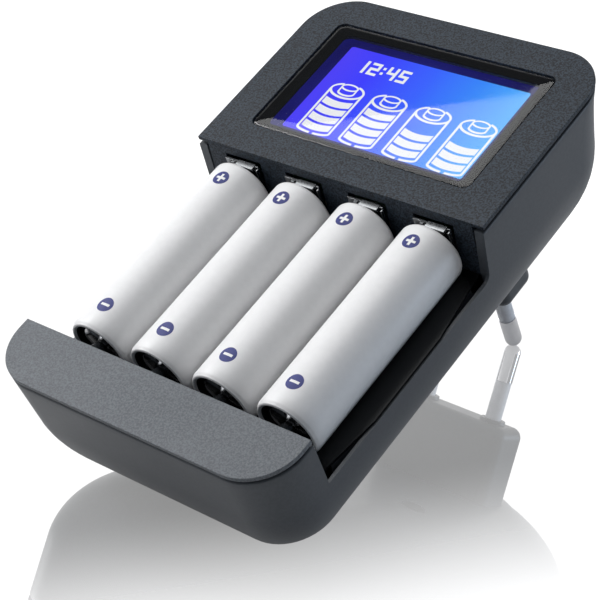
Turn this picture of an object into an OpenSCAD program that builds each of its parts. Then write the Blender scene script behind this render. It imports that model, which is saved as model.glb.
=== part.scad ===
// Charger for four round cells, with a lit display and plug pins on its underside.
// Drawn along the case: x across, y from the front end to the display end, z up from the flat bottom.
// At the end it is laid down as it rests: on the two pin tips and the curved front of the case.

/* [Case] */
// Case width
body_w = 74; // [73:0.5:84]
// Case length
body_l = 118.4; // [117:0.2:126]
// Case height, flat bottom to top face
body_h = 37.4; // [36.8:0.2:42]
// Corner radius seen from above
corner_r = 11; // [9:0.5:13]
// Wall thickness of the lower shell
wall = 2.2; // [1.8:0.1:2.4]
// Height of the curved lower part
sweep_h = 23; // [20:0.5:23.5]
// Run of the curve under each side
side_sweep = 26; // [20:0.5:27]
// Run of the curve under the front end
front_sweep = 17.5; // [15:0.5:20]
// Run of the curve under the display end
rear_sweep = 9; // [6:0.5:12]
// Height of the curve under the display end
rear_h = 15; // [12:0.5:18]
// Extra rounding of the two corners behind the display, at the foot
rear_round = 10; // [6:0.5:12]

/* [Cells] */
// Cell diameter
cell_d = 14.3; // [13.9:0.1:14.5]
// Cell length with its button
cell_l = 50.5; // [49.4:0.1:51]
// Space beside the row of cells, to each side of the case
bay_side = 4; // [3.5:0.1:5]
// Depth of the cell centres below the top face
cell_drop = 8.4; // [8.2:0.1:8.8]

/* [Bay] */
// Length of the front cover
front_l = 13.4; // [12:0.2:15]
// Room for the front contacts, from the front cover to the cells
contact_gap = 4.2; // [4:0.1:4.6]
// Room from the cells to the head wall at the top face
head_gap = 1.1; // [1:0.1:1.4]
// Lean of the head wall, top to foot
head_lean = 1.6; // [1.2:0.1:1.8]
// Depth of the side rails below the top face
rail_drop = 13; // [12.6:0.1:13.6]

/* [Display] */
// Margin of the display window to each side of the case
window_side = 9; // [8.5:0.5:12]
// Margin of the display window to each end of the head
window_end = 8; // [7:0.5:10]
// Corner radius of the window
window_r = 4; // [2:0.5:6]
// Width of the dark border at the sides
border_side = 2.8; // [2:0.1:5]
// Width of the dark border at the ends
border_end = 1.8; // [1.6:0.1:4]

/* [Plug] */
// Distance between the pins
pin_pitch = 19; // [18:0.5:19]
// Pin diameter
pin_d = 4; // [4:0.1:4.8]
// Pin length below the plug block
pin_l = 19; // [18:0.5:20]
// Length of the sleeved part of a pin
sleeve_l = 10; // [9:0.5:11]
// Pin centres, from the display end of the case
pin_back = 23; // [21:0.5:25]
// Height of the plug block below the flat bottom
block_h = 18; // [16:0.5:20]
// Width of the plug block
block_w = 31.8; // [30:0.2:34]
// Thickness of the plug block
block_t = 11.2; // [10:0.1:13]
// Edge radius of the plug block
block_r = 2.5; // [1.5:0.1:3]

/* [Hidden] */
$fn = 48;
cell_count = 4;
cell_pitch = (body_w - 2*bay_side)/cell_count;
cell_z = body_h - cell_drop;
cell_y = front_l + contact_gap;
head_y = cell_y + cell_l + head_gap;
rail_z = body_h - rail_drop;
window_w = body_w - 2*window_side;
window_l = body_l - head_y - 2*window_end;
view_w = window_w - 2*border_side;
view_l = window_l - 2*border_end;
pin_y = body_l - pin_back;
draft = 0.4;
foot_r = 9.5;
seam = 0.6;
plate_t = 1.0;
lip_t = 2.0;
fit = 0.15;
half_w = body_w/2;
inner_hw = half_w - wall - draft;
rim_z = body_h - plate_t - seam;
cell_r = cell_d/2;
cell_x = [for (i = [0:cell_count - 1]) (i - (cell_count - 1)/2)*cell_pitch];
nub_h = 1.2;
shoulder_y = cell_y + cell_l - nub_h;
tray_top = rail_z + 0.6;
tray_low = cell_z - 9.5;
tray_hw = inner_hw - 1.0;
tray_y0 = front_l + 0.2;
head_foot_y = head_y - head_lean;
tray_y1 = head_foot_y - 0.2;
lean_rate = head_lean/(body_h - rail_z);
fillet_r = 2.0;
wall_t = 2.0;
window_y = (head_y + body_l)/2 - 0.1;
bevel = 0.7;
pocket_z = body_h - 1.4;
lens_z = body_h - 1.0;
lens_t = 0.5;
lcd_t = 2.1;
lcd_z = body_h - plate_t - lip_t - 0.1 - lcd_t;
light_t = 3.0;
light_z = lcd_z - light_t - 0.1;
board_t = 1.6;
board_z = light_z - board_t - 0.2;
board_hw = inner_hw - 1.9;
board_y0 = head_y + 4.3;
board_y1 = body_l - 7.4;
boss_x = board_hw - 2;
boss_y = [board_y0 + 2.5, board_y1 - 3];
power_z = 12;
power_y0 = head_y + 2.8;
power_y1 = body_l - 8.4;
flange_z = 6.5;
flange_t = 2;
power_hw = half_w - 13;
part_h = board_z - power_z - board_t - 1.3;
core_w = 22;
core_d = 9;
core_leg = 3/12.4*part_h;
coil_l = 18;
cap_r = 0.4*part_h;
cap_l = 16;
tall_cap_r = 4;
chip_w = 10;
chip_t = 1.5;
stud_r = 2.5;
stud_in = 6;
post_r = 3;
tube_r = 3.6;
well_r = 2.9;
hole_r = 1.5;
head_r = 2.5;
head_t = 1.8;
slot_l = 3.4;
slot_w = 0.6;
thread_r = 1.25;
thread_l = 9.5;
plus_w = 9;
plus_h = 11.2;
plus_drop = 5.5;
opening_w = plus_w + 0.6;
opening_h = 13.1;
opening_drop = 7;
tail_w = 3;
minus_w = 4.4;
screw_x = 14;
screw_y = [cell_y + 6.4, head_foot_y - 3.6];
tube_top = tray_low - 3;
well_top = tube_top - 4.5;
post_x = half_w - 15;
post_y = front_l - 4.4;
lead_z = tray_low - 0.6;
travel = 1.2;
leaf_y = cell_y - 1.7;
leaf_t = 0.4;
block_face = -block_h;
pin_tip = block_face - pin_l;
pin_r = pin_d/2;
shank_r = 1.2;
sleeve_r = pin_r - 0.25;
arc_n = 9;
bend_n = 6;

// Corner points of a rounded rectangle at one height, with its own radius at the back
function ring(hw, y0, y1, r, back_r, n, z) = [
    for (c = [0:3]) for (k = [0:n])
        let (
            a = 90*c + 90*k/n,
            q = c < 2 ? back_r : r,
            cx = (c == 0 || c == 3) ? hw - q : q - hw,
            cy = (c < 2) ? y1 - q : y0 + q
        )
        [cx + q*cos(a), cy + q*sin(a), z]
];

// Inward run of a curved foot at a height
function dip(z, h, run) = z >= h ? 0 : run*(1 - sqrt(1 - pow((h - z)/h, 2)));

// One section of the case at a height, set in by a wall
function case_ring(inset, z, n) =
    let (
        up = z - inset,
        lean = draft*min(1, (rim_z - z)/(rim_z - sweep_h)),
        side = inset + lean + dip(up, sweep_h - inset, side_sweep - inset),
        front = inset + lean + dip(up, sweep_h - inset, front_sweep - inset),
        rear = inset + lean + dip(up, rear_h - inset, rear_sweep - inset),
        hw = half_w - side,
        k = dip(up, sweep_h - inset, 1),
        r = corner_r - inset*0.8 + (foot_r - corner_r + inset*0.4)*k,
        back_r = min(corner_r - inset*0.8 + rear_round*pow(max(0, 1 - z/rim_z), 0.6), hw - 0.5)
    )
    ring(hw, front, body_l - rear, r, back_r, n, z);

// All sections of the case up to a given height
function case_rings(inset, top, arcs, n) = concat(
    [for (i = [0:arcs]) case_ring(inset, inset + (sweep_h - inset)*(1 - sin(90*(1 - i/arcs))), n)],
    [for (k = [0.4, 0.75]) case_ring(inset, sweep_h + k*(rim_z - sweep_h), n)],
    [case_ring(inset, rim_z, n)],
    top > rim_z ? [ring(half_w - inset, inset, body_l - inset, corner_r - inset*0.8,
        corner_r - inset*0.8, n, top)] : []
);

// Lowest point of the curved front for a given tilt
function front_low(t) = min([
    for (i = [0:arc_n])
        let (
            a = 90*(1 - i/arc_n),
            y = draft + front_sweep*(1 - cos(a)),
            z = sweep_h*(1 - sin(a))
        )
        y*sin(t) + z*cos(t)
]);

// Lowest point of the round pin tips for a given tilt
function pin_low(t) = pin_y*sin(t) + (pin_tip + pin_r)*cos(t) - pin_r;

// Tilt at which front and pin tips touch the ground together
function find_tilt(lo, hi, n) =
    n == 0 ? (lo + hi)/2 :
    let (m = (lo + hi)/2)
    front_low(m) > pin_low(m) ? find_tilt(m, hi, n - 1) : find_tilt(lo, m, n - 1);

tilt = find_tilt(5, 45, 40);
ground = pin_low(tilt);
rest_y0 = -body_h*sin(tilt);
rest_y1 = pin_y*cos(tilt) - (pin_tip + pin_r)*sin(tilt) + pin_r;
rest_mid = (rest_y0 + rest_y1)/2;

// Lays the charger down as it rests
module rest() {
    translate([0, -rest_mid, -ground]) rotate([tilt, 0, 0]) children();
}

// Solid through a stack of sections
module loft(rings) {
    m = len(rings);
    n = len(rings[0]);
    points = [for (r = rings) for (p = r) p];
    foot = [[for (k = [0:n - 1]) k]];
    head = [[for (k = [n - 1:-1:0]) (m - 1)*n + k]];
    sides = [
        for (i = [0:m - 2]) for (k = [0:n - 1])
            let (q = (k + 1)%n)
            [i*n + k, (i + 1)*n + k, (i + 1)*n + q, i*n + q]
    ];
    polyhedron(points = points, faces = concat(foot, head, sides), convexity = 4);
}

// Flat rounded rectangle with round corners, from y0 to y1
module plan(hw, y0, y1, r) {
    translate([-hw + r, y0]) square([2*(hw - r), y1 - y0]);
    translate([-hw, y0 + r]) square([2*hw, y1 - y0 - 2*r]);
    for (x = [-1, 1]) for (y = [y0 + r, y1 - r]) translate([x*(hw - r), y]) circle(r);
}

// Outline of the plug block, grown by a margin
module block_plan(grow) {
    plan(block_w/2 + grow, -block_t/2 - grow, block_t/2 + grow, block_r + grow);
}

// Outline of the top face
module top_plan(inset) {
    plan(half_w - inset, inset, body_l - inset, inset > 0 ? corner_r + 0.5 : corner_r);
}

// Extrudes a side view, drawn in y and z, across the case
module across(hw) {
    translate([-hw, 0, 0]) rotate([90, 0, 90]) linear_extrude(2*hw) children();
}

// Turns a solid standing on z so that it points along y
module along() {
    rotate([-90, 0, 0]) children();
}

// Rounded rectangle that widens evenly from one height to another
module flare(hw, y0, y1, r, z0, z1, grow) {
    across(hw - r) polygon([[y0, z0], [y1, z0], [y1 + grow, z1], [y0 - grow, z1]]);
    translate([0, y1 - r, 0]) rotate([90, 0, 0]) linear_extrude(y1 - y0 - 2*r)
        polygon([[-hw, z0], [hw, z0], [hw + grow, z1], [-hw - grow, z1]]);
    for (x = [r - hw, hw - r]) for (y = [y0 + r, y1 - r]) translate([x, y, z0])
        cylinder(h = z1 - z0, r1 = r, r2 = r + grow);
}

module bay_cut() {
    up = body_h + 2;
    back = head_foot_y + wall_t + 0.1;
    foot = head_foot_y - 0.05;
    across(half_w + 2) polygon(concat(
        [[front_l, rail_z]],
        [for (a = [0:15:75]) [foot - fillet_r + fillet_r*sin(a), rail_z + fillet_r - fillet_r*cos(a)]],
        [[foot, rail_z + fillet_r - fillet_r*cos(75)]],
        [[foot, rail_z]],
        [[back, rail_z]],
        [[back + lean_rate*(up - rail_z), up]],
        [[front_l, up]]
    ));
}

module rail_grooves() {
    skin = half_w - draft - 0.7;
    mid = (front_l + head_foot_y)/2;
    for (s = [-1, 1]) translate([0, 0, rail_z - 2]) linear_extrude(4) {
        polygon([[s*skin, front_l], [s*skin, mid - 12], [s*(inner_hw - 0.4), front_l]]);
        polygon([[s*skin, head_foot_y], [s*skin, mid + 10], [s*(inner_hw - 0.4), head_foot_y]]);
    }
}

module shell_posts() {
    for (x = [-screw_x, screw_x]) for (y = screw_y) translate([x, y, 0]) cylinder(h = tube_top, r = tube_r);
    for (x = [stud_in - power_hw, power_hw - stud_in]) translate([x, power_y0 + stud_r + 1.5, 0])
        cylinder(h = power_z, r = stud_r);
    for (x = [-post_x, post_x]) translate([x, post_y, 0]) cylinder(h = rail_z - 0.4, r = post_r);
    translate([0, pin_y, 0]) linear_extrude(flange_z) block_plan(1.9);
}

module lower_shell() {
    color("#33353a") difference() {
        loft(case_rings(0, rim_z, arc_n, bend_n));
        difference() {
            loft(case_rings(wall, rim_z + 1, 6, 4));
            shell_posts();
        }
        bay_cut();
        rail_grooves();
        for (x = [-screw_x, screw_x]) for (y = screw_y) translate([x, y, -1]) {
            cylinder(h = well_top + 1, r = well_r);
            cylinder(h = tube_top + 2, r = hole_r);
        }
        translate([0, pin_y, -1]) linear_extrude(flange_z + 2) block_plan(fit);
    }
}

module head_plan(inset, front) {
    intersection() {
        top_plan(inset);
        translate([-half_w - 5, front]) square([body_w + 10, body_l]);
    }
}

// Side view of the leaning head wall between two heights
module wall_profile(z0, z1) {
    polygon([
        [head_foot_y + lean_rate*(z0 - rail_z), z0],
        [head_foot_y + wall_t + lean_rate*(z0 - rail_z), z0],
        [head_foot_y + wall_t + lean_rate*(z1 - rail_z), z1],
        [head_foot_y + lean_rate*(z1 - rail_z), z1]
    ]);
}

module head_wall() {
    foot_hw = half_w - draft*(rim_z - rail_z)/(rim_z - sweep_h);
    across(inner_hw - 0.1) wall_profile(rail_z, body_h - 0.5);
    intersection() {
        across(half_w + 1) wall_profile(rail_z + 0.1, rim_z);
        translate([0, head_y + wall_t + 1, 0]) rotate([90, 0, 0]) linear_extrude(wall_t + head_lean + 2)
            polygon([[-foot_hw, rail_z], [foot_hw, rail_z], [half_w, rim_z], [-half_w, rim_z]]);
    }
}

module contact_windows() {
    for (x = cell_x) translate([x - opening_w/2, head_foot_y - 2, cell_z - opening_drop])
        cube([opening_w, wall_t + 6, opening_h]);
}

module window_cut() {
    y0 = window_y - window_l/2;
    y1 = window_y + window_l/2;
    translate([0, 0, pocket_z]) linear_extrude(4) plan(window_w/2, y0, y1, window_r);
    translate([0, 0, pocket_z - 3]) linear_extrude(4) plan(view_w/2 + 1.5, y0 + 1.5, y1 - 1.5, 2.5);
    flare(window_w/2 - 0.4, y0 + 0.4, y1 - 0.4, window_r - 0.4,
        body_h - bevel - 0.4, body_h + 0.4, bevel + 0.8);
}

module head_cover() {
    color("#2a2b2f") difference() {
        union() {
            translate([0, 0, body_h - plate_t]) linear_extrude(plate_t) head_plan(0, head_y);
            translate([0, 0, body_h - plate_t - lip_t]) linear_extrude(lip_t)
                head_plan(wall + fit, head_y + 1);
            head_wall();
            for (x = [-boss_x, boss_x]) for (y = boss_y) translate([x, y, board_z + board_t + 0.1])
                cylinder(h = body_h - plate_t - board_z - board_t - 0.2, r = 2.2);
        }
        window_cut();
        contact_windows();
        for (x = [-boss_x, boss_x]) for (y = boss_y) translate([x, y, board_z])
            cylinder(h = board_t + 5, r = 0.95);
    }
}

module front_cover() {
    color("#45474b") {
        translate([0, 0, body_h - plate_t]) linear_extrude(plate_t) intersection() {
            top_plan(0);
            translate([-half_w, -1]) square([body_w, front_l + 1]);
        }
        translate([0, 0, body_h - plate_t - lip_t]) linear_extrude(lip_t) intersection() {
            top_plan(wall + fit);
            translate([-half_w, 0]) square([body_w, front_l]);
        }
        across(inner_hw - 0.1) polygon([
            [front_l - wall_t, rail_z], [front_l, rail_z],
            [front_l, body_h - plate_t], [front_l - wall_t, body_h - plate_t]
        ]);
        for (x = [-post_x, post_x]) translate([x, post_y, rail_z - 0.3])
            cylinder(h = body_h - plate_t - rail_z, r = post_r - 0.4);
    }
}

module battery_tray() {
    mid = (front_l + head_foot_y)/2;
    edge = half_w - draft - 0.3;
    low = inner_hw - 0.3;
    color("#0e0e10") difference() {
        union() {
            translate([-tray_hw, tray_y0, tray_low]) cube([2*tray_hw, tray_y1 - tray_y0, tray_top - tray_low]);
            for (s = [-1, 1]) translate([0, 0, rail_z + 0.05]) linear_extrude(tray_top - rail_z - 0.05)
                polygon([
                    [s*(low - 3), tray_y0], [s*low, tray_y0], [s*edge, mid - 12],
                    [s*edge, mid + 10], [s*low, tray_y1], [s*(low - 3), tray_y1]
                ]);
            for (x = [-screw_x, screw_x]) for (y = screw_y) translate([x, y, tube_top + 0.1])
                cylinder(h = tray_low - tube_top, r = tube_r - 0.2);
        }
        for (x = cell_x) translate([x, tray_y0 - 1, cell_z]) along() cylinder(h = 60, r = cell_r + 0.1);
        for (x = cell_x) translate([x - minus_w/2 - 0.4, leaf_y - travel - 0.4, tray_low - 1])
            cube([minus_w + 0.8, travel + leaf_t + 0.8, 8]);
        for (x = [-screw_x, screw_x]) for (y = screw_y) translate([x, y, tube_top])
            cylinder(h = 5.2, r = thread_r + 0.1);
    }
}

module display_lens() {
    color("#6d87b8", 0.35) translate([0, 0, lens_z]) linear_extrude(lens_t)
        plan(window_w/2 - 0.1, window_y - window_l/2 + 0.1, window_y + window_l/2 - 0.1, window_r);
}

module display_mask() {
    color("#0b0b0d") translate([0, 0, pocket_z + 0.05]) linear_extrude(0.3) difference() {
        plan(window_w/2 - 0.1, window_y - window_l/2 + 0.1, window_y + window_l/2 - 0.1, window_r);
        plan(view_w/2, window_y - view_l/2, window_y + view_l/2, 1.2);
    }
}

module lcd_panel() {
    color("#3157c8") translate([-view_w/2 - 2, window_y - view_l/2 - 1.2, lcd_z])
        cube([view_w + 4, view_l + 2.4, lcd_t]);
}

module backlight() {
    color("#dfe6ee") translate([-view_w/2 - 2, window_y - view_l/2 - 1.2, light_z])
        cube([view_w + 4, view_l + 2.4, light_t]);
}

module control_board() {
    color("#1f6b3a") difference() {
        translate([0, 0, board_z]) linear_extrude(board_t) plan(board_hw, board_y0, board_y1, 4);
        for (x = [-boss_x, boss_x]) for (y = boss_y) translate([x, y, board_z - 1]) cylinder(h = 4, r = 1);
    }
}

module control_chip() {
    color("#18181a") translate([chip_w/2, pin_y - 0.7*chip_w, board_z - chip_t - 0.1])
        cube([chip_w, chip_w, chip_t]);
}

module board_screws() {
    color("#b9bcc0") for (x = [-boss_x, boss_x]) for (y = boss_y) translate([x, y, board_z - 1.2]) {
        cylinder(h = 1.15, r = 1.8);
        cylinder(h = 6.4, r = 0.8);
    }
}

module power_board() {
    color("#8a6a2c") difference() {
        translate([-power_hw, power_y0, power_z + 0.05]) cube([2*power_hw, power_y1 - power_y0, board_t]);
        for (x = [-pin_pitch/2, pin_pitch/2]) translate([x, pin_y, power_z - 1]) cylinder(h = 4, r = 1.2);
    }
}

module transformer_core() {
    color("#3a3a3c") translate([2 - core_w, power_y0 + coil_l/2 + 4 - core_d/2, power_z + board_t + 0.1])
        difference() {
            cube([core_w, core_d, part_h]);
            translate([core_leg, -1, core_leg]) cube([core_w - 2*core_leg, core_d + 2, part_h - 2*core_leg]);
        }
}

module transformer_coil() {
    color("#c9a13a") translate([2 - core_w + core_leg + 0.1, power_y0 + 4, power_z + board_t + core_leg + 0.2])
        cube([core_w - 2*core_leg - 0.2, coil_l, part_h - 2*core_leg - 0.2]);
}

module mains_capacitor() {
    color("#23314f") translate([5, power_y0 + 5 + cap_r, power_z + board_t + cap_r + 0.1]) rotate([0, 90, 0])
        cylinder(h = cap_l, r = cap_r);
}

module output_capacitor() {
    color("#1c2b24") translate([power_hw - 2*tall_cap_r, power_y1 - tall_cap_r - 1.2, power_z + board_t + 0.1])
        cylinder(h = part_h - 1, r = tall_cap_r);
}

module plug_block() {
    bx = block_w/2 - block_r;
    by = block_t/2 - block_r;
    low = block_face + block_r;
    color("#303237") translate([0, pin_y, 0]) difference() {
        union() {
            translate([0, 0, low]) linear_extrude(flange_z + 1 - low) block_plan(0);
            translate([-bx, -by, block_face]) cube([2*bx, 2*by, block_r + 1]);
            for (x = [-bx, bx]) for (y = [-by, by]) translate([x, y, low]) sphere(block_r);
            for (y = [-by, by]) translate([-bx, y, low]) rotate([0, 90, 0]) cylinder(h = 2*bx, r = block_r);
            for (x = [-bx, bx]) translate([x, -by, low]) along() cylinder(h = 2*by, r = block_r);
            translate([0, 0, flange_z + 0.05]) linear_extrude(flange_t) block_plan(2.9);
            for (x = [-15, 15]) translate([x, 0, flange_z + 1]) cylinder(h = power_z - flange_z - 1, r = 2);
            for (x = [-pin_pitch/2, pin_pitch/2]) translate([x, 0, block_face - 0.8])
                cylinder(h = 2, r = 3);
        }
        for (x = [-pin_pitch/2, pin_pitch/2]) translate([x, 0, block_face - 1]) {
            cylinder(h = block_h + flange_z + 4, r = shank_r + 0.1);
            cylinder(h = 2, r = pin_r);
        }
    }
}

module plug_pin(s) {
    color("#c8cacd") translate([s*pin_pitch/2, pin_y, 0]) {
        translate([0, 0, pin_tip + pin_r]) sphere(pin_r);
        translate([0, 0, pin_tip + pin_r]) cylinder(h = pin_l - sleeve_l - pin_r, r = pin_r);
        translate([0, 0, pin_tip + pin_r]) cylinder(h = flange_z + flange_t + 1 - pin_tip - pin_r, r = shank_r);
        translate([0, 0, flange_z + flange_t + 0.1]) cylinder(h = 1.2, r = 2.6);
        translate([0, 0, flange_z + flange_t]) cylinder(h = power_z + board_t + 1 - flange_z - flange_t, r = 1);
    }
}

module pin_sleeve(s) {
    color("#a9adb3") translate([s*pin_pitch/2, pin_y, block_face - sleeve_l + 0.05]) difference() {
        cylinder(h = sleeve_l + 0.9, r = sleeve_r);
        translate([0, 0, -1]) cylinder(h = sleeve_l + 3, r = shank_r + 0.1);
    }
}

module plus_contact(i) {
    y = cell_y + cell_l + 0.05;
    color("#c5c7c9") translate([cell_x[i], 0, 0]) {
        translate([-plus_w/2, y, cell_z - plus_drop]) cube([plus_w, leaf_t, plus_h]);
        translate([-0.8, y - 1.1, cell_z + 5.65]) cube([4.6, 1.1 + leaf_t, 0.3]);
        translate([-0.8, y, cell_z + 5.4]) cube([4.6, leaf_t, 0.4]);
        translate([-0.8, y - 0.7, cell_z + 4.9]) cube([4.4, 0.9, 0.3]);
        translate([-2.4, y - 0.6, cell_z + 5.2]) cube([0.8, 0.8, 0.5]);
        translate([4.1, y - 0.6, cell_z - 3]) cube([leaf_t, 0.8, 8.2]);
        translate([-tail_w/2, y, board_z - 0.5]) cube([tail_w, board_y0 + 2.5 - y, leaf_t]);
    }
}

module minus_contact(i) {
    top = cell_z + 2.6;
    color("#c5c7c9") translate([cell_x[i], 0, 0]) {
        translate([-minus_w/2, leaf_y, tray_low + 0.2]) cube([minus_w, leaf_t, top - tray_low - 0.2]);
        translate([-minus_w/2, leaf_y - 0.8, top - leaf_t]) cube([minus_w, 0.8 + leaf_t, leaf_t]);
        translate([0, leaf_y + leaf_t - 0.1, cell_z]) along() cylinder(h = 2.3, r1 = 2.1, r2 = 1.1);
    }
}

module contact_leads() {
    color("#b98d5a") for (x = cell_x) translate([x - (x > 0 ? 4 : -4) - tail_w/2, 0, 0]) {
        translate([0, front_l + 0.6, lead_z]) cube([tail_w, board_y0 + 1.3 - front_l - 0.6, leaf_t]);
        translate([0, board_y0 + 0.9, lead_z]) cube([tail_w, leaf_t, board_z - 0.1 - lead_z]);
    }
}

module cell(i) {
    can = shoulder_y - cell_y;
    edge = 1.2;
    color("#e9ebee") translate([cell_x[i], cell_y, cell_z]) along() rotate_extrude() difference() {
        union() {
            square([cell_r, can - edge]);
            square([cell_r - edge, can]);
            translate([cell_r - edge, can - edge]) intersection() {
                circle(edge);
                square(edge);
            }
            square([2.75, cell_l]);
        }
        translate([0, -1]) square([cell_r - 1.1, 2]);
        translate([cell_r - 2.1, -1]) square([1, 2.8]);
    }
}

module case_screws() {
    z = well_top - head_t - 0.05;
    color("#9b9ea3") for (x = [-screw_x, screw_x]) for (y = screw_y) translate([x, y, z]) {
        difference() {
            cylinder(h = head_t, r = head_r);
            translate([-slot_l/2, -slot_w/2, -0.2]) cube([slot_l, slot_w, 1]);
            translate([-slot_w/2, -slot_l/2, -0.2]) cube([slot_w, slot_l, 1]);
        }
        translate([0, 0, head_t - 0.6]) cylinder(h = thread_l, r = thread_r);
    }
}

rest() lower_shell();
rest() head_cover();
rest() front_cover();
rest() battery_tray();
rest() display_lens();
rest() display_mask();
rest() lcd_panel();
rest() backlight();
rest() control_board();
rest() control_chip();
rest() board_screws();
rest() power_board();
rest() transformer_core();
rest() transformer_coil();
rest() mains_capacitor();
rest() output_capacitor();
rest() plug_block();
rest() plug_pin(-1);  // plug_pin_left
rest() plug_pin(1);  // plug_pin_right
rest() pin_sleeve(-1);  // pin_sleeve_left
rest() pin_sleeve(1);  // pin_sleeve_right
rest() plus_contact(0);  // plus_contact_1
rest() plus_contact(1);  // plus_contact_2
rest() plus_contact(2);  // plus_contact_3
rest() plus_contact(3);  // plus_contact_4
rest() minus_contact(0);  // minus_contact_1
rest() minus_contact(1);  // minus_contact_2
rest() minus_contact(2);  // minus_contact_3
rest() minus_contact(3);  // minus_contact_4
rest() contact_leads();
rest() cell(0);  // cell_1
rest() cell(1);  // cell_2
rest() cell(2);  // cell_3
rest() cell(3);  // cell_4
rest() case_screws();
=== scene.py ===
import math

import bmesh
import bpy
from mathutils import Matrix, Vector


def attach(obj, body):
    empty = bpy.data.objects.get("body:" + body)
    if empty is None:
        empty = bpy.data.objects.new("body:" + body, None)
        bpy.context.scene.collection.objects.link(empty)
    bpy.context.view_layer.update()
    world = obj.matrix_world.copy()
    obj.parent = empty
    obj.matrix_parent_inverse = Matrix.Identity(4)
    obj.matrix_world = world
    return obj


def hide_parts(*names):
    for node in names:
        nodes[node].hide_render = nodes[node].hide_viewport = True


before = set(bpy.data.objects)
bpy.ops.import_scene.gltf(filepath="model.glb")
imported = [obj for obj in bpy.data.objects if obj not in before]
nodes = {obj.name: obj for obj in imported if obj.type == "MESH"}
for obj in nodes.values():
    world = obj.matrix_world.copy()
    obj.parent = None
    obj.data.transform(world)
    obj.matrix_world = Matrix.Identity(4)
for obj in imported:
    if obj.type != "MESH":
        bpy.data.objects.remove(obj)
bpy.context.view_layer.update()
scene = bpy.context.scene
scene.view_settings.view_transform = "Standard"

# Sizes of the case in millimetres, as in the part's source
MM = 0.001
TILT = math.radians(24.808342745)
GROUND = 6.258264452
MIDDLE = 43.794570845
BODY_W, BODY_L, BODY_H = 74.0, 118.4, 37.4
CORNER_R, FOOT_R, WALL, DRAFT = 11.0, 9.5, 2.2, 0.4
SWEEP_H, SIDE_SWEEP, FRONT_SWEEP = 23.0, 26.0, 17.5
REAR_SWEEP, REAR_H, REAR_ROUND = 9.0, 15.0, 10.0
RIM_Z = BODY_H - 1.6
HALF_W = BODY_W / 2
INNER_HW = HALF_W - WALL - DRAFT
RAIL_Z = 24.4
FRONT_L, HEAD_Y, HEAD_FOOT_Y = 13.4, 69.2, 67.6
HEAD_LEAN = (HEAD_Y - HEAD_FOOT_Y) / (BODY_H - RAIL_Z)
HEAD_WALL, PLATE_T, RIM_ROUND, FILLET_R = 2.0, 1.0, 0.5, 2.0
WINDOW_Y, WINDOW_R = 93.7, 1.9
WINDOW_HW, WINDOW_HL = 28.35, 16.95
VIEW_W, VIEW_L = 50.4, 29.6
LCD_TOP = BODY_H - 3.1
CELL_R, CELL_Y, CELL_Z, CELL_L = 7.15, 17.6, 29.0, 50.5
CELL_X = [(i - 1.5) * 16.5 for i in range(4)]
OPENING_HW, OPENING_BELOW, OPENING_ABOVE = 4.8, 7.0, 6.1
WELL_X, WELL_Y, WELL_R, WELL_TOP = (-14, 14), (24, 64), 2.9, 5
PIN_Y, SLEEVE_R = 95.4, 1.9
REST = (
    Matrix.Translation((0, -MIDDLE * MM, -GROUND * MM))
    @ Matrix.Rotation(TILT, 4, "X")
    @ Matrix.Scale(MM, 4)
)


# Camera at the photograph's place
def add_camera():
    cam = bpy.data.cameras.new("photo_camera")
    cam.sensor_width = 36.0
    cam.lens = 111.54
    cam.clip_start = 0.01
    obj = bpy.data.objects.new("photo_camera", cam)
    scene.collection.objects.link(obj)
    right = Vector((0.76155344, 0.64804089, -0.00890854))
    down = Vector((0.28436801, -0.34646729, -0.89392128))
    ahead = Vector((-0.58238406, 0.67823552, -0.44813546))
    turn = Matrix((right, -down, -ahead)).transposed().to_4x4()
    obj.matrix_world = Matrix.Translation((0.2195954, -0.2625920, 0.2024646)) @ turn
    scene.camera = obj


add_camera()


# Material building
def new_material(name):
    m = bpy.data.materials.new(name)
    m.use_nodes = True
    tree = m.node_tree
    return m, tree, tree.nodes["Principled BSDF"]


def add(tree, kind, **values):
    n = tree.nodes.new(kind)
    for key, value in values.items():
        setattr(n, key, value)
    return n


def noise(tree, scale, detail=2.0, rough=0.5):
    where = add(tree, "ShaderNodeTexCoord")
    n = add(tree, "ShaderNodeTexNoise")
    n.inputs["Scale"].default_value = scale
    n.inputs["Detail"].default_value = detail
    n.inputs["Roughness"].default_value = rough
    tree.links.new(where.outputs["Object"], n.inputs["Vector"])
    return n


def ramp(tree, source, stops):
    r = add(tree, "ShaderNodeValToRGB")
    while len(r.color_ramp.elements) < len(stops):
        r.color_ramp.elements.new(0.5)
    for element, (place, color) in zip(r.color_ramp.elements, stops):
        element.position = place
        element.color = (*color, 1) if len(color) == 3 else color
    tree.links.new(source, r.inputs["Fac"])
    return r


def bump(tree, source, strength, distance):
    b = add(tree, "ShaderNodeBump")
    b.inputs["Strength"].default_value = strength
    b.inputs["Distance"].default_value = distance
    tree.links.new(source, b.inputs["Height"])
    return b


def grey(v, tint=(1.0, 1.0, 1.0)):
    return tuple(v * t for t in tint)


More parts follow.
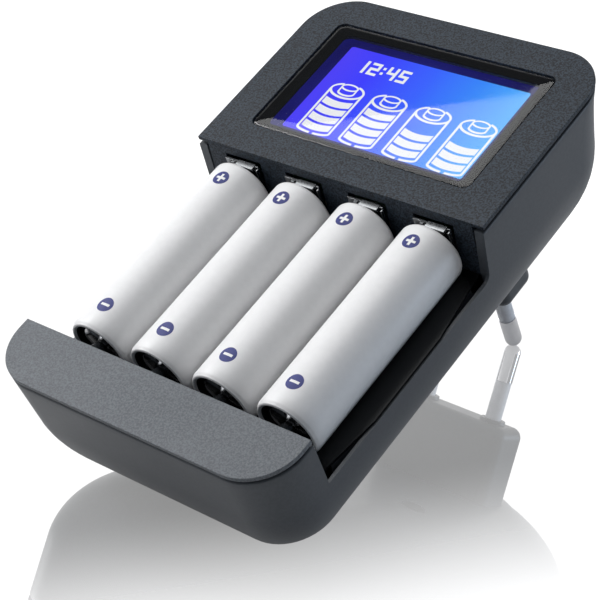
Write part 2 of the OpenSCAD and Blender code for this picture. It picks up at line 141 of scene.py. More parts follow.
# Plastic with a fine grain: speckled colour, uneven gloss and a bump
def plastic(name, color, rough, grain_scale, grain_bump, speckle=0.12, tint=(0.88, 0.99, 1.13), spec=0.5):
    m, tree, bsdf = new_material(name)
    bsdf.inputs["Specular IOR Level"].default_value = spec
    fine = noise(tree, grain_scale, 3.0, 0.6)
    wide = noise(tree, 60.0, 2.0, 0.5)
    low = grey(color * (1 - speckle), tint)
    high = grey(color * (1 + speckle), tint)
    tone = ramp(tree, fine.outputs["Fac"], [(0.4, low), (0.6, high)])
    tree.links.new(tone.outputs["Color"], bsdf.inputs["Base Color"])
    rougher = min(1.0, rough * 1.07)
    gloss = ramp(tree, wide.outputs["Fac"], [(0.3, grey(rough * 0.93)), (0.7, grey(rougher))])
    tree.links.new(gloss.outputs["Color"], bsdf.inputs["Roughness"])
    if grain_bump > 0:
        b = bump(tree, fine.outputs["Fac"], grain_bump, 0.00006)
        tree.links.new(b.outputs["Normal"], bsdf.inputs["Normal"])
    return m


# Metal with fine scratches and uneven gloss
def metal(name, color, rough, scratch=0.1):
    m, tree, bsdf = new_material(name)
    fine = noise(tree, 2500.0, 2.0, 0.6)
    wide = noise(tree, 250.0, 2.0, 0.5)
    tone = ramp(tree, wide.outputs["Fac"], [(0.3, grey(0.9, color)), (0.7, color)])
    tree.links.new(tone.outputs["Color"], bsdf.inputs["Base Color"])
    gloss = ramp(tree, fine.outputs["Fac"], [(0.3, grey(rough * 0.8)), (0.7, grey(rough * 1.25))])
    tree.links.new(gloss.outputs["Color"], bsdf.inputs["Roughness"])
    bsdf.inputs["Metallic"].default_value = 1.0
    b = bump(tree, fine.outputs["Fac"], scratch, 0.00002)
    tree.links.new(b.outputs["Normal"], bsdf.inputs["Normal"])
    return m


# Evenly lit print
def glow(name, color, strength):
    m, tree, bsdf = new_material(name)
    fine = noise(tree, 900.0, 1.0, 0.5)
    tone = ramp(tree, fine.outputs["Fac"], [(0.3, grey(0.97, color)), (0.7, color)])
    tree.links.new(tone.outputs["Color"], bsdf.inputs["Emission Color"])
    bsdf.inputs["Base Color"].default_value = (0.02, 0.02, 0.02, 1)
    bsdf.inputs["Emission Strength"].default_value = strength
    bsdf.inputs["Roughness"].default_value = 0.35
    bsdf.inputs["Specular IOR Level"].default_value = 0.0
    return m


MAT = {
    "case": plastic("case_plastic", 0.070, 0.40, 1500.0, 0.05, 0.06, spec=0.36),
    "head": plastic("head_grain", 0.026, 0.50, 2600.0, 1.0, 0.8, (0.70, 1.0, 1.42), 0.24),
    # Front cover: same plastic as the head plate, with a much lighter grey painted in for the brighter light
    # on the front top
    "front": plastic("front_grain_painted_light", 0.11, 0.50, 2600.0, 0.8, 0.28, spec=0.4),
    "tray": plastic("tray_gloss", 0.004, 0.16, 900.0, 0.02, 0.05, spec=0.16),
    "mask": plastic("mask_print", 0.003, 0.6, 900.0, 0.0, 0.05, spec=0.0),
    "sleeve": plastic("cell_white", 0.80, 0.32, 700.0, 0.02, 0.012, (1.0, 1.0, 1.005), 0.4),
    "mark": plastic("mark_blue", 0.10, 0.35, 900.0, 0.0, 0.05, (0.22, 0.30, 1.9), 0.3),
    "mark_white": plastic("mark_white", 0.82, 0.35, 900.0, 0.0, 0.01, (1, 1, 1)),
    "nickel": metal("nickel", (0.30, 0.31, 0.32), 0.22),
    "chrome": metal("chrome_pin", (0.80, 0.80, 0.82), 0.06, 0.04),
    "pin_sleeve": plastic("pin_sleeve", 0.80, 0.35, 900.0, 0.03, 0.03, (0.97, 0.99, 1.04)),
    "board": plastic("board_green", 0.08, 0.4, 1200.0, 0.05, 0.1, (0.5, 1.5, 0.7)),
    "chip": plastic("chip_black", 0.012, 0.5, 2500.0, 0.2, 0.1),
    "ferrite": plastic("ferrite", 0.06, 0.7, 2500.0, 0.4, 0.2, (1, 1, 1)),
    "tape": plastic("coil_tape", 0.4, 0.4, 600.0, 0.1, 0.05, (1.5, 1.1, 0.25)),
    "diffuser": plastic("diffuser", 0.75, 0.5, 900.0, 0.0, 0.02, (1, 1, 1)),
    "steel": metal("screw_steel", (0.6, 0.6, 0.62), 0.3),
    "copper": metal("lead_strip", (0.75, 0.52, 0.3), 0.3),
    "terminal": metal("cell_end", (0.42, 0.42, 0.43), 0.10),
    # Near-black painted shade for the recesses at the cells' ends
    "recess_shade": plastic("cell_recess_painted_shade", 0.006, 0.35, 900.0, 0.0, 0.05),
    "lcd_body": plastic("lcd_glass_edge", 0.012, 0.15, 900.0, 0.0, 0.05, (0.5, 0.7, 3.2)),
    "lcd_white": glow("lcd_white", (0.92, 0.94, 0.98), 0.92),
}


# Mesh building in the charger's own frame, in millimetres
def mesh_object(name, points, faces, materials, index=None, smooth=40.0, matrix=REST):
    mesh = bpy.data.meshes.new(name)
    mesh.from_pydata([tuple(p) for p in points], [], faces)
    mesh.transform(matrix)
    bm = bmesh.new()
    bm.from_mesh(mesh)
    bmesh.ops.recalc_face_normals(bm, faces=bm.faces)
    bm.to_mesh(mesh)
    bm.free()
    for m in materials:
        mesh.materials.append(m)
    if index:
        mesh.polygons.foreach_set("material_index", index)
    finish_mesh(mesh, smooth)
    obj = bpy.data.objects.new(name, mesh)
    scene.collection.objects.link(obj)
    return obj


def finish_mesh(mesh, angle):
    mesh.polygons.foreach_set("use_smooth", [True] * len(mesh.polygons))
    mesh.set_sharp_from_angle(angle=math.radians(angle))
    mesh.update()


# Puts a modifier's result in place of an object's mesh
def bake(obj):
    bpy.context.view_layer.update()
    graph = bpy.context.evaluated_depsgraph_get()
    mesh = bpy.data.meshes.new_from_object(obj.evaluated_get(graph))
    obj.modifiers.clear()
    old = obj.data
    obj.data = mesh
    bpy.data.meshes.remove(old)


# Large flat faces keep their own shading next to rounded edges
def even_normals(obj):
    mod = obj.modifiers.new("even", "WEIGHTED_NORMAL")
    mod.keep_sharp = True
    mod.weight = 100
    bake(obj)


# Object from a welded mesh, with its sharp edges rounded
def rounded_object(name, bm, material, width, flat, segments=2, angle=35.0):
    bmesh.ops.dissolve_limit(bm, angle_limit=math.radians(flat), verts=bm.verts, edges=bm.edges)
    sharp = [
        e for e in bm.edges
        if len(e.link_faces) == 2 and e.calc_face_angle(0.0) > math.radians(angle)
    ]
    if sharp:
        bmesh.ops.bevel(
            bm, geom=sharp, offset=width * MM, offset_type="OFFSET", segments=segments,
            profile=0.5, affect="EDGES", clamp_overlap=True,
        )
    bmesh.ops.recalc_face_normals(bm, faces=bm.faces)
    mesh = bpy.data.meshes.new(name)
    bm.to_mesh(mesh)
    bm.free()
    mesh.materials.append(material)
    finish_mesh(mesh, 32.0)
    obj = bpy.data.objects.new(name, mesh)
    scene.collection.objects.link(obj)
    even_normals(obj)
    return obj


# Copy of a CAD node with its edges rounded, standing for that node
def refine(name, material, width, body="charger"):
    bm = bmesh.new()
    bm.from_mesh(nodes[name].data)
    bmesh.ops.remove_doubles(bm, verts=bm.verts, dist=2e-6)
    obj = rounded_object(name + "_skin", bm, material, width, 0.4)
    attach(obj, body)
    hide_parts(name)


# Closed blocks in one skin with rounded edges
def join_rounded(name, objects, material, width):
    bm = bmesh.new()
    for obj in objects:
        bm.from_mesh(obj.data)
        bpy.data.objects.remove(obj)
    bmesh.ops.remove_doubles(bm, verts=bm.verts, dist=1e-7)
    return rounded_object(name, bm, material, width, 0.3)


# Material on a CAD node that is shown as it is
def dress(name, material):
    data = nodes[name].data
    data.materials.clear()
    data.materials.append(material)


# Smooth case shell through the same sections as the CAD, many more of them
def dip(z, h, run):
    if z >= h:
        return 0.0
    return run * (1 - math.sqrt(max(0.0, 1 - ((h - z) / h) ** 2)))


def ring(hw, y0, y1, r, back_r, n, z):
    points = []
    for c in range(4):
        q = back_r if c < 2 else r
        cx = hw - q if c in (0, 3) else q - hw
        cy = y1 - q if c < 2 else y0 + q
        for k in range(n + 1):
            a = math.radians(90 * c + 90 * k / n)
            points.append((cx + q * math.cos(a), cy + q * math.sin(a), z))
    return points


def case_ring(inset, z, n, extra=0.0):
    up = z - inset
    lean = DRAFT * min(1.0, (RIM_Z - z) / (RIM_Z - SWEEP_H))
    side = inset + lean + dip(up, SWEEP_H - inset, SIDE_SWEEP - inset) + extra
    front = inset + lean + dip(up, SWEEP_H - inset, FRONT_SWEEP - inset) + extra
    rear = inset + lean + dip(up, REAR_H - inset, REAR_SWEEP - inset) + extra
    hw = HALF_W - side
    k = dip(up, SWEEP_H - inset, 1)
    r = CORNER_R - inset * 0.8 + (FOOT_R - CORNER_R + inset * 0.4) * k
    grow = REAR_ROUND * max(0.0, 1 - z / RIM_Z) ** 0.6
    back_r = min(CORNER_R - inset * 0.8 + grow, hw - 0.5)
    return ring(hw, front, BODY_L - rear, r, back_r, n, z)


def loft(rings):
    n = len(rings[0])
    points = [p for r in rings for p in r]
    faces = [tuple(range(n - 1, -1, -1))]
    faces.append(tuple((len(rings) - 1) * n + k for k in range(n)))
    for i in range(len(rings) - 1):
        for k in range(n):
            q = (k + 1) % n
            faces.append((i * n + k, i * n + q, (i + 1) * n + q, (i + 1) * n + k))
    return points, faces


def prism_x(profile, hw):
    n = len(profile)
    points = [(-hw, y, z) for y, z in profile] + [(hw, y, z) for y, z in profile]
    faces = [tuple(range(n)), tuple(range(2 * n - 1, n - 1, -1))]
    faces += [(k, (k + 1) % n, n + (k + 1) % n, n + k) for k in range(n)]
    return points, faces


def prism_z(profile, z0, z1):
    n = len(profile)
    points = [(x, y, z0) for x, y in profile] + [(x, y, z1) for x, y in profile]
    faces = [tuple(range(n - 1, -1, -1)), tuple(range(n, 2 * n))]
    faces += [(k, (k + 1) % n, n + (k + 1) % n, n + k) for k in range(n)]
    return points, faces


def disc(x, y, r, n=48):
    angles = [2 * math.pi * k / n for k in range(n)]
    return [(x + r * math.cos(a), y + r * math.sin(a)) for a in angles]


def round_box(hx, hy, r, y, n=10):
    return [(px, y + py) for px, py, pz in ring(hx, -hy, hy, r, r, n, 0.0)]


# Takes closed shapes out of an object, one after the other
def cut(obj, parts):
    for points, faces in parts:
        tool = mesh_object("cutter", points, faces, [])
        mod = obj.modifiers.new("cut", "BOOLEAN")
        mod.operation = "DIFFERENCE"
        mod.solver = "EXACT"
        mod.object = tool
        bake(obj)
        bpy.data.objects.remove(tool)


# Heights that lie closer together where the underside curves in
def sweep_levels(z0, z1, n):
    return [z0 + (z1 - z0) * (1 - math.sin(math.radians(90 * (1 - i / n)))) for i in range(n + 1)]


# Front face of the head's wall, which leans back
def wall_face(z):
    return HEAD_FOOT_Y + HEAD_LEAN * (z - RAIL_Z)


# Side profile of the open cell bay, with a fillet at the head's foot
def bay_profile():
    up = BODY_H + 2
    centre_y = HEAD_FOOT_Y + 0.05 - FILLET_R
    profile = [(FRONT_L, RAIL_Z)]
    for k in range(13):
        a = math.radians(6.5 * k)
        profile.append((centre_y + FILLET_R * math.sin(a), RAIL_Z + FILLET_R - FILLET_R * math.cos(a)))
    return profile + [(wall_face(up), up), (FRONT_L, up)]


def build_shell():
    bends = 14
    straight = RIM_Z - RIM_ROUND
    levels = sweep_levels(0, SWEEP_H, 26)
    levels += [SWEEP_H + k / 8 * (straight - SWEEP_H) for k in range(1, 9)]
    outer = [case_ring(0, z, bends) for z in levels]
    for a in (22.5, 45.0, 67.5, 90.0):
        t = math.radians(a)
        outer.append(case_ring(0, straight + RIM_ROUND * math.sin(t), bends, RIM_ROUND * (1 - math.cos(t))))
    points, faces = loft(outer)
    shell = mesh_object("case_shell", points, faces, [MAT["case"]])
    inner = [case_ring(WALL, z, 8) for z in sweep_levels(WALL, SWEEP_H, 10) + [29.0, RIM_Z]]
    inner.append([(x, y, RIM_Z + 3) for x, y, z in inner[-1]])
    mid = (FRONT_L + HEAD_FOOT_Y) / 2
    parts = [loft(inner), prism_x(bay_profile(), HALF_W + 2)]
    for s in (-1, 1):
        skin_x = s * (HALF_W - DRAFT - 0.7)
        inner_x = s * (INNER_HW - 0.4)
        for y0, y1 in ((FRONT_L, mid - 12), (HEAD_FOOT_Y, mid + 10)):
            notch = [(skin_x, y0), (skin_x, y1), (inner_x, y0)]
            parts.append(prism_z(notch, RAIL_Z - 2, RAIL_Z + 2))
    for x in WELL_X:
        for y in WELL_Y:
            parts.append(prism_z(disc(x, y, WELL_R), -1, WELL_TOP))
    parts.append(prism_z(round_box(16.05, 5.75, 2.65, PIN_Y), -1, 8))
    cut(shell, parts)
    finish_mesh(shell.data, 32.0)
    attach(shell, "charger")
    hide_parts("lower_shell")


# Top plate of the head, with the window in it
def head_plate():
    outline = [(-HALF_W, HEAD_Y), (HALF_W, HEAD_Y)]
    for cx, a0 in ((HALF_W - CORNER_R, 0), (CORNER_R - HALF_W, 90)):
        for k in range(25):
            a = math.radians(a0 + 90 * k / 24)
            outline.append((cx + CORNER_R * math.cos(a), BODY_L - CORNER_R + CORNER_R * math.sin(a)))
    points, faces = prism_z(outline, BODY_H - PLATE_T, BODY_H)
    plate = mesh_object("plate", points, faces, [])
    window = round_box(WINDOW_HW, WINDOW_HL, WINDOW_R, WINDOW_Y)
    cut(plate, [prism_z(window, BODY_H - 2, BODY_H + 1)])
    return plate


# Ledge under the window's edge
def head_ledge():
    points, faces = prism_z(round_box(30.0, 18.6, 3.0, WINDOW_Y), BODY_H - 2.4, BODY_H - 1.42)
    ledge = mesh_object("ledge", points, faces, [])
    view = round_box(VIEW_W / 2 + 1.5, VIEW_L / 2 + 0.3, 2.5, WINDOW_Y)
    cut(ledge, [prism_z(view, BODY_H - 4, BODY_H)])
    return ledge


# Leaning wall of the head, with an opening for each plus contact
def head_wall():
    top = BODY_H - PLATE_T / 2
    foot_y, top_y = wall_face(RAIL_Z), wall_face(top)
    profile = [(foot_y, RAIL_Z), (foot_y + HEAD_WALL, RAIL_Z), (top_y + HEAD_WALL, top), (top_y, top)]
    points, faces = prism_x(profile, INNER_HW - 0.05)
    wall = mesh_object("wall", points, faces, [])
    y0, y1 = HEAD_FOOT_Y - 2, HEAD_FOOT_Y + 6
    openings = []
    for x in CELL_X:
        x0, x1 = x - OPENING_HW, x + OPENING_HW
        hole = [(x0, y0), (x1, y0), (x1, y1), (x0, y1)]
        openings.append(prism_z(hole, CELL_Z - OPENING_BELOW, CELL_Z + OPENING_ABOVE))
    cut(wall, openings)
    return wall


def build_head():
    head = join_rounded("head_cover_skin", [head_plate(), head_ledge(), head_wall()], MAT["head"], 0.22)
    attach(head, "charger")
    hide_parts("head_cover")


build_shell()
build_head()
refine("front_cover", MAT["front"], 0.3)
refine("battery_tray", MAT["tray"], 0.25)
refine("plug_block", MAT["case"], 0.2)


# Sleeve of a pin, almost as thick as the pin's bare end
def build_sleeve(name):
    home = REST.inverted() @ nodes[name].matrix_world
    places = [home @ v.co for v in nodes[name].data.vertices]
    low, high = min(q.z for q in places), max(q.z for q in places)
    mid = (min(q.x for q in places) + max(q.x for q in places)) / 2
    points, faces = prism_z(disc(mid, PIN_Y, SLEEVE_R), low, high)
    obj = mesh_object(name + "_skin", points, faces, [MAT["pin_sleeve"]])
    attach(obj, "charger")
    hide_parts(name)


for side in ("left", "right"):
    dress("plug_pin_" + side, MAT["chrome"])
    build_sleeve("pin_sleeve_" + side)
for i in range(1, 5):
    refine(f"plus_contact_{i}", MAT["nickel"], 0.08)
    refine(f"minus_contact_{i}", MAT["nickel"], 0.08, body=f"contact_{i}")
dress("lcd_panel", MAT["lcd_body"])
dress("backlight", MAT["diffuser"])
dress("control_board", MAT["board"])
dress("power_board", MAT["board"])
dress("control_chip", MAT["chip"])
dress("transformer_core", MAT["ferrite"])
dress("transformer_coil", MAT["tape"])
dress("mains_capacitor", MAT["chip"])
dress("output_capacitor", MAT["chip"])
dress("contact_leads", MAT["copper"])
dress("board_screws", MAT["steel"])
dress("case_screws", MAT["steel"])


# Cells turned from a profile: white sleeve, metal ends, and near-black painted shade on the recess wall
# round the minus end and in the step under the plus end's shoulder
def cell_profile():
    top = CELL_L - 1.2
    # The "dark" stretches are painted shade in the ends' recesses
    path = [(0.0, 1.0, "end"), (4.2, 1.0, "end"), (4.7, 1.15, "end"), (5.0, 1.5, "end"), (5.1, 1.8, "dark")]
    path += [(5.9, 1.8, "dark"), (6.0, 1.6, "dark"), (6.02, 0.5, "dark")]
    for k in range(1, 7):
        a = math.radians(180 - 30 * k)
        path.append((6.45 + 0.42 * math.cos(a), 0.36 - 0.36 * math.sin(a), "rim"))
    path += [(7.02, 0.62, "rim"), (CELL_R, 0.95, "sleeve")]
    for k in range(1, 24):
        path.append((CELL_R, 0.95 + (top - 1.35 - 0.95) * k / 23, "sleeve"))
    for k in range(1, 11):
        a = math.radians(9 * k)
        path.append((CELL_R - 1.35 + 1.35 * math.cos(a), top - 1.35 + 1.35 * math.sin(a), "sleeve"))
    path += [(4.2, top, "sleeve"), (4.1, top - 0.12, "dark"), (2.8, top - 0.12, "dark")]
    path += [(2.75, top + 0.9, "end"), (2.62, top + 1.1, "end"), (2.4, CELL_L, "end"), (0.0, CELL_L, "end")]
    return path


def build_cell(i):
    path = cell_profile()
    n = 96
    points, faces, index = [], [], []
    rows = []
    names = {"sleeve": 0, "rim": 0, "end": 1, "dark": 2}
    for r, y, kind in path:
        if r == 0.0:
            rows.append([len(points)])
            points.append((CELL_X[i], CELL_Y + y, CELL_Z))
            continue
        row = []
        for k in range(n):
            a = 2 * math.pi * k / n
            row.append(len(points))
            points.append((CELL_X[i] + r * math.sin(a), CELL_Y + y, CELL_Z + r * math.cos(a)))
        rows.append(row)
    for j in range(len(path) - 1):
        a, b = rows[j], rows[j + 1]
        for k in range(n):
            q = (k + 1) % n
            if len(a) == 1:
                faces.append((a[0], b[k], b[q]))
            elif len(b) == 1:
                faces.append((a[k], b[0], a[q]))
            else:
                faces.append((a[k], b[k], b[q], a[q]))
            index.append(names[path[j + 1][2]])
    materials = [MAT["sleeve"], MAT["terminal"], MAT["recess_shade"]]
    obj = mesh_object(f"cell_{i + 1}_turned", points, faces, materials, index, 30.0)
    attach(obj, "charger")
    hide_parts(f"cell_{i + 1}")


# Flat shapes bent round a cell, given across and along it in millimetres
def wrap(x, y, lift, i, y0):
    a = x / CELL_R
    r = CELL_R + lift
    return (CELL_X[i] + r * math.sin(a), y0 + y, CELL_Z + r * math.cos(a))


def cell_mark(i, y0, plus):
    points, faces, index = [], [], []
    rings, n, radius = 5, 48, 1.8
    points.append(wrap(0, 0, 0.02, i, y0))
    for j in range(1, rings + 1):
        for k in range(n):
            a = 2 * math.pi * k / n
            r = radius * j / rings
            points.append(wrap(r * math.cos(a), r * math.sin(a), 0.02, i, y0))
    for k in range(n):
        q = (k + 1) % n
        faces.append((0, 1 + k, 1 + q))
        index.append(0)
        for j in range(rings - 1):
            base = 1 + j * n
            faces.append((base + k, base + n + k, base + n + q, base + q))
            index.append(0)
    bars = [(1.08, 0.29)] + ([(0.29, 1.08)] if plus else [])
    for hx, hy in bars:
        first = len(points)
        steps = 8
        for j in range(steps + 1):
            x = -hx + 2 * hx * j / steps
            points.append(wrap(x, -hy, 0.04, i, y0))
            points.append(wrap(x, hy, 0.04, i, y0))
        for j in range(steps):
            b = first + 2 * j
            faces.append((b, b + 2, b + 3, b + 1))
            index.append(1)
    name = f"cell_{i + 1}_{'plus' if plus else 'minus'}_mark"
    obj = mesh_object(name, points, faces, [MAT["mark"], MAT["mark_white"]], index, 60.0)
    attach(obj, "charger")


for i in range(4):
    build_cell(i)
    cell_mark(i, 61.8, True)
    cell_mark(i, 23.7, False)


# Display image: lit field with a dark border, four cell signs and a plain number readout
def lit_material():
    m, tree, bsdf = new_material("lcd_lit")
    where = add(tree, "ShaderNodeTexCoord")
    split = add(tree, "ShaderNodeSeparateXYZ")
    tree.links.new(where.outputs["Object"], split.inputs["Vector"])
    span = add(tree, "ShaderNodeMapRange")
    span.inputs["From Min"].default_value = -0.0238
    span.inputs["From Max"].default_value = 0.0232
    tree.links.new(split.outputs["X"], span.inputs["Value"])
    stops = [(0.0, (0.070, 0.046, 0.93)), (0.2, (0.040, 0.042, 1.0)), (0.5, (0.034, 0.12, 1.0))]
    stops += [(0.75, (0.032, 0.24, 0.96)), (1.0, (0.065, 0.42, 0.95))]
    tone = ramp(tree, span.outputs["Result"], stops)
    tree.links.new(tone.outputs["Color"], bsdf.inputs["Emission Color"])
    bsdf.inputs["Emission Strength"].default_value = 1.0
    bsdf.inputs["Base Color"].default_value = (0.01, 0.01, 0.03, 1)
    bsdf.inputs["Specular IOR Level"].default_value = 0.0
    return m


def border_material():
    m, tree, bsdf = new_material("lcd_border")
    fine = noise(tree, 90.0, 2.0, 0.5)
    tone = ramp(tree, fine.outputs["Fac"], [(0.3, (0.003, 0.002, 0.085)), (0.7, (0.006, 0.006, 0.14))])
    tree.links.new(tone.outputs["Color"], bsdf.inputs["Emission Color"])
    bsdf.inputs["Emission Strength"].default_value = 1.0
    bsdf.inputs["Base Color"].default_value = (0.005, 0.005, 0.02, 1)
    bsdf.inputs["Specular IOR Level"].default_value = 0.0
    return m


# Flat drawing of filled outlines and strokes
class Drawing:
    def __init__(self):
        self.points, self.faces, self.index = [], [], []

    def fill(self, outline, z, material):
        first = len(self.points)
        self.points += [(x, y, z) for x, y in outline]
        self.faces.append(tuple(range(first, first + len(outline))))
        self.index.append(material)

    def stroke(self, path, width, z, material, closed=False):
        n = len(path)
        first = len(self.points)
        for k in range(n):
            a = path[k - 1] if (k > 0 or closed) else path[k]
            b = path[(k + 1) % n] if (k < n - 1 or closed) else path[k]
            dx, dy = b[0] - a[0], b[1] - a[1]
            d = math.hypot(dx, dy)
            ox, oy = -dy / d * width / 2, dx / d * width / 2
            self.points.append((path[k][0] + ox, path[k][1] + oy, z))
            self.points.append((path[k][0] - ox, path[k][1] - oy, z))
        for k in range(n if closed else n - 1):
            a, b = first + 2 * k, first + 2 * ((k + 1) % n)
            self.faces.append((a, a + 1, b + 1, b))
            self.index.append(material)


def arc(cx, cy, rx, ry, a0, a1, n=32):
    out = []
    for k in range(n + 1):
        a = math.radians(a0 + (a1 - a0) * k / n)
        out.append((cx + rx * math.cos(a), cy + ry * math.sin(a)))
    return out


def box(x0, y0, x1, y1):
    return [(x0, y0), (x1, y0), (x1, y1), (x0, y1)]


# One cell sign: outline with a top face and button, and bars for its charge
def draw_cell_sign(art, cx, bars, z):
    hw, line = 4.25, 0.58
    foot, head = 82.25, 94.75
    art.stroke(arc(cx, head, hw, 2.05, 180, 360), line, z, 2)
    art.stroke(arc(cx, head, hw, 2.05, 180, 118, 16), line * 0.9, z, 2)
    art.stroke(arc(cx, head, hw, 2.05, 0, 62, 16), line * 0.9, z, 2)
    art.stroke(arc(cx, 95.9, 2.05, 0.85, 0, 360, 40)[:-1], 0.42, z, 2, True)
    art.stroke(arc(cx, 94.35, 2.05, 0.85, 180, 360, 24), 0.5, z, 2)
    for side in (-1, 1):
        art.stroke([(cx + side * 2.05, 95.9), (cx + side * 2.05, 94.35)], 0.42, z, 2)
        art.stroke([(cx + side * hw, head), (cx + side * hw, foot)], line, z, 2)
    art.stroke(arc(cx, foot, hw, 0.95, 180, 264, 20), line, z, 2)
    art.stroke(arc(cx, foot, hw, 0.95, 276, 360, 20), line, z, 2)
    for k in range(4 - bars, 4):
        top = 92.1 - 2.48 * k
        upper = [(cx - 3.66 + 7.32 * j / 16, top - 0.62 * (1 - (j / 8 - 1) ** 2)) for j in range(17)]
        lower = [(x, y - 1.86) for x, y in reversed(upper)]
        art.fill(upper + lower, z, 2)


SEGMENTS = {"2": "abged", "4": "fgbc", "5": "afgcd", "1": "bc"}


def draw_digit(art, sign, x, y, w, h, t, z):
    mid = y + h / 2
    places = {
        "a": box(x, y + h - t, x + w, y + h),
        "g": box(x, mid - t / 2, x + w, mid + t / 2),
        "d": box(x, y, x + w, y + t),
        "f": box(x, mid, x + t, y + h),
        "b": box(x + w - t, mid, x + w, y + h),
        "e": box(x, y, x + t, mid),
        "c": box(x + w - t, y, x + w, mid),
    }
    for k, part in enumerate(SEGMENTS[sign]):
        art.fill(places[part], z + 0.001 * k, 2)


def build_display():
    art = Drawing()
    z = LCD_TOP
    art.fill(box(-27.1, 77.8, 27.1, 109.6), z + 0.01, 1)
    field = arc(22.5, 106.8, 0.6, 0.6, 0, 90, 6) + arc(-23.15, 106.8, 0.6, 0.6, 90, 180, 6)
    field += arc(-23.15, 81.6, 0.6, 0.6, 180, 270, 6) + arc(22.5, 81.6, 0.6, 0.6, 270, 360, 6)
    art.fill(field, z + 0.02, 0)
    for cx, bars in ((-15.95, 4), (-4.55, 4), (6.85, 3), (18.25, 3)):
        draw_cell_sign(art, cx, bars, z + 0.03)
    for sign, x in (("1", -18.9), ("2", -15.55), ("4", -10.9), ("5", -7.7)):
        draw_digit(art, sign, x, 100.8, 2.55, 3.8, 0.72, z + 0.03)
    for y in (101.7, 103.2):
        art.fill(box(-12.35, y, -11.65, y + 0.7), z + 0.03, 2)
    materials = [lit_material(), border_material(), MAT["lcd_white"]]
    obj = mesh_object("display_image", art.points, art.faces, materials, art.index, 30.0)
    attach(obj, "charger")


build_display()


# Clear film of the display: see-through, with a gloss that follows the angle
def lens_material():
    m, tree, bsdf = new_material("lens_film")
    tree.nodes.remove(bsdf)
    clear = add(tree, "ShaderNodeBsdfTransparent")
    gloss = add(tree, "ShaderNodeBsdfGlossy")
    fine = noise(tree, 120.0, 1.0, 0.5)
    smear = ramp(tree, fine.outputs["Fac"], [(0.3, grey(0.02)), (0.7, grey(0.04))])
    tree.links.new(smear.outputs["Color"], gloss.inputs["Roughness"])
    edge = add(tree, "ShaderNodeFresnel")
    edge.inputs["IOR"].default_value = 1.5
    where = add(tree, "ShaderNodeNewGeometry")
    outside = add(tree, "ShaderNodeMath", operation="SUBTRACT")
    outside.inputs[0].default_value = 1.0
    tree.links.new(where.outputs["Backfacing"], outside.inputs[1])
    share = add(tree, "ShaderNodeMath", operation="MULTIPLY")
    tree.links.new(edge.outputs["Fac"], share.inputs[0])
    tree.links.new(outside.outputs["Value"], share.inputs[1])
    mix = add(tree, "ShaderNodeMixShader")
    tree.links.new(share.outputs["Value"], mix.inputs["Fac"])
    tree.links.new(clear.outputs["BSDF"], mix.inputs[1])
    tree.links.new(gloss.outputs["BSDF"], mix.inputs[2])
    tree.links.new(mix.outputs["Shader"], tree.nodes["Material Output"].inputs["Surface"])
    return m


# Lens with an edge that rolls off
def build_lens():
    steps = [(0.08, -1.0), (0.08, -0.50), (0.14, -0.38), (0.30, -0.28), (0.65, -0.19)]
    steps += [(1.3, -0.14), (2.3, -0.115), (3.6, -0.11)]
    rings = []
    for inset, z in steps:
        r = max(0.6, WINDOW_R - inset * 0.4)
        rings.append([(x, y, BODY_H + z) for x, y in
                      round_box(WINDOW_HW - inset, WINDOW_HL - inset, r, WINDOW_Y, 8)])
    points, faces = loft(rings)
    obj = mesh_object("display_lens_plate", points, faces, [lens_material()], None, 50.0)
    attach(obj, "charger")
    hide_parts("display_lens")


# Dark print under the lens, open over the display
def build_mask():
    outer = round_box(WINDOW_HW - 0.1, WINDOW_HL - 0.1, WINDOW_R - 0.1, WINDOW_Y, 8)
    inner = round_box(VIEW_W / 2, VIEW_L / 2, 1.2, WINDOW_Y, 8)
    n = len(outer)
    points, faces = [], []
    for z in (BODY_H - 1.3, BODY_H - 1.04):
        points += [(x, y, z) for x, y in outer] + [(x, y, z) for x, y in inner]
    for k in range(n):
        q = (k + 1) % n
        faces.append((k, q, n + q, n + k))
        faces.append((2 * n + k, 3 * n + k, 3 * n + q, 2 * n + q))
        faces.append((k, 2 * n + k, 2 * n + q, q))
        faces.append((n + k, n + q, 3 * n + q, 3 * n + k))
    obj = mesh_object("display_mask_print", points, faces, [MAT["mask"]], None, 30.0)
    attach(obj, "charger")
    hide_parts("display_mask")


build_lens()
build_mask()


# Floor, world and lamps; the mirror fades along a direction over the floor, in metres
FADE_DIR = (0.855, -0.585)
FADE_FROM, FADE_TO = 0.020, 0.082
NEAR_FROM, NEAR_TO = 0.09, 0.13
MIRROR = 0.72
WORLD_BASE = 0.15
WORLD_TINT = (0.93, 0.98, 1.06)
BACKDROP = (1.05, 1.05, 1.05)


def smooth_range(tree, source, start, end, low, high):
    n = add(tree, "ShaderNodeMapRange", interpolation_type="SMOOTHSTEP")
    n.inputs["From Min"].default_value = start
    n.inputs["From Max"].default_value = end
    n.inputs["To Min"].default_value = low
    n.inputs["To Max"].default_value = high
    tree.links.new(source, n.inputs["Value"])
    return n.outputs["Result"]


def times(tree, a, b):
    n = add(tree, "ShaderNodeMath", operation="MULTIPLY")
    tree.links.new(a, n.inputs[0])
    tree.links.new(b, n.inputs[1])
    return n.outputs["Value"]


# Strength of the floor's mirror, which falls off away from where the charger stands
def mirror_share(tree, path):
    where = add(tree, "ShaderNodeTexCoord")
    along = add(tree, "ShaderNodeVectorMath", operation="DOT_PRODUCT")
    along.inputs[1].default_value = (*FADE_DIR, 0.0)
    tree.links.new(where.outputs["Object"], along.inputs[0])
    fade = smooth_range(tree, along.outputs["Value"], FADE_FROM, FADE_TO, MIRROR, 0.0)
    distance = add(tree, "ShaderNodeVectorMath", operation="LENGTH")
    tree.links.new(where.outputs["Object"], distance.inputs[0])
    near = smooth_range(tree, distance.outputs["Value"], NEAR_FROM, NEAR_TO, 1.0, 0.0)
    return times(tree, times(tree, fade, near), path.outputs["Is Camera Ray"])


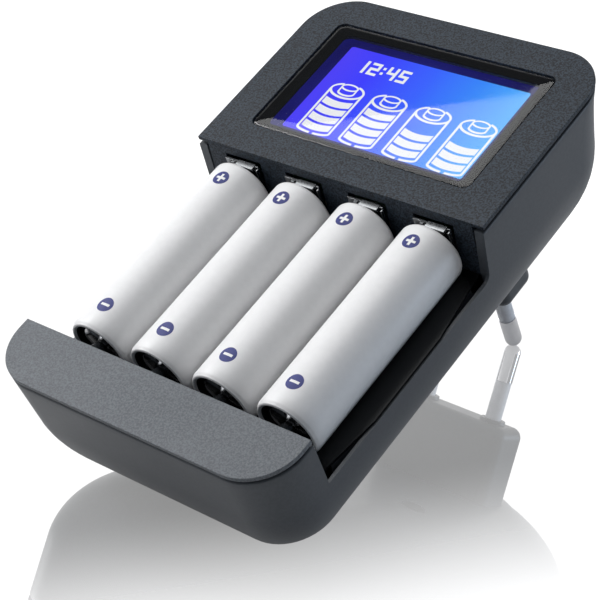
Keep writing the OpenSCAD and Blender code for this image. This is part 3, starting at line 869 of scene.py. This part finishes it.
# Pale floor that the camera sees as white, with a mirror near the charger
def floor_material():
    m, tree, bsdf = new_material("floor_white")
    fine = noise(tree, 30.0, 2.0, 0.5)
    tone = ramp(tree, fine.outputs["Fac"], [(0.3, (0.54, 0.54, 0.545)), (0.7, (0.56, 0.56, 0.565))])
    tree.links.new(tone.outputs["Color"], bsdf.inputs["Base Color"])
    bsdf.inputs["Roughness"].default_value = 0.7
    bsdf.inputs["Specular IOR Level"].default_value = 0.0
    path = add(tree, "ShaderNodeLightPath")
    lift = add(tree, "ShaderNodeEmission")
    lift.inputs["Strength"].default_value = 1.58
    direct = add(tree, "ShaderNodeMath", operation="MULTIPLY_ADD")
    direct.inputs[1].default_value = 0.2
    tree.links.new(path.outputs["Is Glossy Ray"], direct.inputs[0])
    tree.links.new(path.outputs["Is Camera Ray"], direct.inputs[2])
    scale = add(tree, "ShaderNodeMath", operation="MULTIPLY")
    scale.inputs[1].default_value = 0.62
    tree.links.new(direct.outputs["Value"], scale.inputs[0])
    white = add(tree, "ShaderNodeMixShader")
    tree.links.new(scale.outputs["Value"], white.inputs["Fac"])
    tree.links.new(bsdf.outputs["BSDF"], white.inputs[1])
    tree.links.new(lift.outputs["Emission"], white.inputs[2])
    mirror = add(tree, "ShaderNodeBsdfGlossy")
    mirror.inputs["Color"].default_value = (1, 1, 1, 1)
    mirror.inputs["Roughness"].default_value = 0.02
    mix = add(tree, "ShaderNodeMixShader")
    tree.links.new(mirror_share(tree, path), mix.inputs["Fac"])
    tree.links.new(white.outputs["Shader"], mix.inputs[1])
    tree.links.new(mirror.outputs["BSDF"], mix.inputs[2])
    tree.links.new(mix.outputs["Shader"], tree.nodes["Material Output"].inputs["Surface"])
    return m


def add_floor():
    mesh = bpy.data.meshes.new("floor")
    mesh.from_pydata([(-3, -3, 0), (3, -3, 0), (3, 3, 0), (-3, 3, 0)], [], [(0, 1, 2, 3)])
    mesh.materials.append(floor_material())
    obj = bpy.data.objects.new("floor", mesh)
    scene.collection.objects.link(obj)


# Even light all round, with a bright backdrop behind the charger
def add_world():
    world = bpy.data.worlds.new("studio")
    scene.world = world
    world.use_nodes = True
    tree = world.node_tree
    where = add(tree, "ShaderNodeTexCoord")
    toward = add(tree, "ShaderNodeVectorMath", operation="DOT_PRODUCT")
    toward.inputs[1].default_value = (-0.65, 0.76, 0.0)
    tree.links.new(where.outputs["Generated"], toward.inputs[0])
    span = smooth_range(tree, toward.outputs["Value"], 0.62, 0.79, 0.0, 1.0)
    tone = ramp(tree, span, [(0.0, grey(WORLD_BASE, WORLD_TINT)), (1.0, BACKDROP)])
    tree.links.new(tone.outputs["Color"], tree.nodes["Background"].inputs["Color"])


# Rectangular lamp; z_axis points from the scene back to the lamp
def area(name, place, x_axis, z_axis, size, radiance):
    lamp = bpy.data.lights.new(name, "AREA")
    lamp.shape = "RECTANGLE"
    lamp.size, lamp.size_y = size
    lamp.energy = radiance * math.pi * size[0] * size[1]
    obj = bpy.data.objects.new(name, lamp)
    scene.collection.objects.link(obj)
    z = Vector(z_axis).normalized()
    x = (Vector(x_axis) - z * Vector(x_axis).dot(z)).normalized()
    turn = Matrix((x, z.cross(x), z)).transposed().to_4x4()
    obj.matrix_world = Matrix.Translation(place) @ turn
    obj.visible_camera = False
    return obj


add_floor()
add_world()
# Soft box over the left side; its lower edge shows as the slanted glare on the display
edge = Vector((-0.38792, 0.17517, 0.62613))
inward = Vector((0.3470, -0.8161, 0.4620))
size = (0.95, 0.55)
area("soft_box", edge + inward * size[1] / 2, (0.7520, 0.5365, 0.3828), (-0.5604, 0.2146, 0.8000), size, 2.8)
# Lamp from the left, for the bright side of the cells
area("left_box", (-0.62, -0.22, 0.40), (0.334, -0.943, 0.0), (-0.62, -0.22, 0.36), (0.5, 0.5), 4.3)
# Low cool lamp on the right, for the sheen along that side
right = area("side_box", (0.50, 0.52, 0.14), (-0.72, 0.69, 0.0), (0.69, 0.71, 0.14), (0.5, 0.3), 3.0)
right.data.color = (0.82, 0.98, 1.18)
